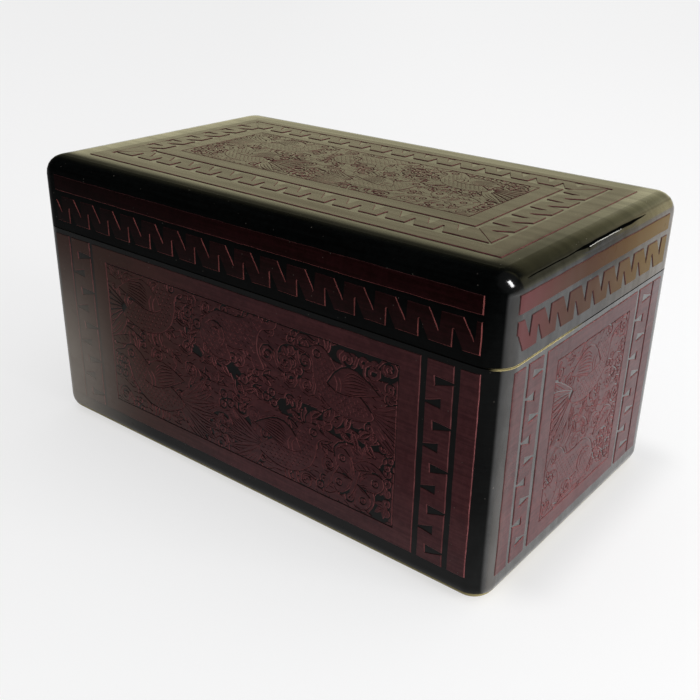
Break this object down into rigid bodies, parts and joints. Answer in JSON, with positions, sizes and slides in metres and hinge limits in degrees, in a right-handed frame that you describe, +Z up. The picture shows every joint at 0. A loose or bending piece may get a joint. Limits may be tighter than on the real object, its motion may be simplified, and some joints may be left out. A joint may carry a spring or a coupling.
{
  "type": "lacquer tea box",
  "caption": "Rectangular lacquered wooden tea box with rounded edges, a lid on brass stop hinges at the back and a loose half-lapped divider grid inside.",
  "frame": {"origin": "middle of the underside, on the surface the box stands on", "axes": "+X along the length to the right end, +Y from the front to the hinged back, +Z up"},
  "size_m": [0.25, 0.1501, 0.1307],
  "materials": {
    "black_lacquer": "burnished black oil lacquer, the ground layer",
    "linaloe_wood": "bare planed pale wood",
    "brass": "stamped brass, slightly tarnished",
    "nail_steel": "plain wire nail"
  },
  "bodies": {
    "base": {"base_back_board": "linaloe_wood", "base_back_left_nail_1": "nail_steel", "base_back_left_nail_2": "nail_steel", "base_back_right_nail_1": "nail_steel", "base_back_right_nail_2": "nail_steel", "base_bottom_board": "linaloe_wood", "base_front_board": "linaloe_wood", "base_front_left_nail_1": "nail_steel", "base_front_left_nail_2": "nail_steel", "base_front_right_nail_1": "nail_steel", "base_front_right_nail_2": "nail_steel", "base_lacquer_coat": "black_lacquer", "base_left_board": "linaloe_wood", "base_right_board": "linaloe_wood", "bottom_back_nail_1": "nail_steel", "bottom_back_nail_2": "nail_steel", "bottom_back_nail_3": "nail_steel", "bottom_front_nail_1": "nail_steel", "bottom_front_nail_2": "nail_steel", "bottom_front_nail_3": "nail_steel", "bottom_left_nail_1": "nail_steel", "bottom_right_nail_1": "nail_steel", "cross_divider_1": "linaloe_wood", "cross_divider_2": "linaloe_wood", "left_hinge_base_leaf": "brass", "left_hinge_base_screw_1": "brass", "left_hinge_base_screw_2": "brass", "left_hinge_pin": "brass", "long_divider": "linaloe_wood", "right_hinge_base_leaf": "brass", "right_hinge_base_screw_1": "brass", "right_hinge_base_screw_2": "brass", "right_hinge_pin": "brass"},
    "lid": {"left_hinge_lid_leaf": "brass", "left_hinge_lid_screw_1": "brass", "left_hinge_lid_screw_2": "brass", "lid_back_left_nail_1": "nail_steel", "lid_back_rail": "linaloe_wood", "lid_back_right_nail_1": "nail_steel", "lid_front_left_nail_1": "nail_steel", "lid_front_rail": "linaloe_wood", "lid_front_right_nail_1": "nail_steel", "lid_lacquer_coat": "black_lacquer", "lid_left_rail": "linaloe_wood", "lid_right_rail": "linaloe_wood", "lid_top_back_nail_1": "nail_steel", "lid_top_back_nail_2": "nail_steel", "lid_top_board": "linaloe_wood", "lid_top_front_nail_1": "nail_steel", "lid_top_front_nail_2": "nail_steel", "right_hinge_lid_leaf": "brass", "right_hinge_lid_screw_1": "brass", "right_hinge_lid_screw_2": "brass"}
  },
  "joints": [
    {"name": "lid_hinge", "type": "hinge", "parent": "base", "child": "lid", "pos_m": [0, 0.0753, 0.0979], "axis": [-1, 0, 0], "range_deg": [0, 100]}
  ]
}
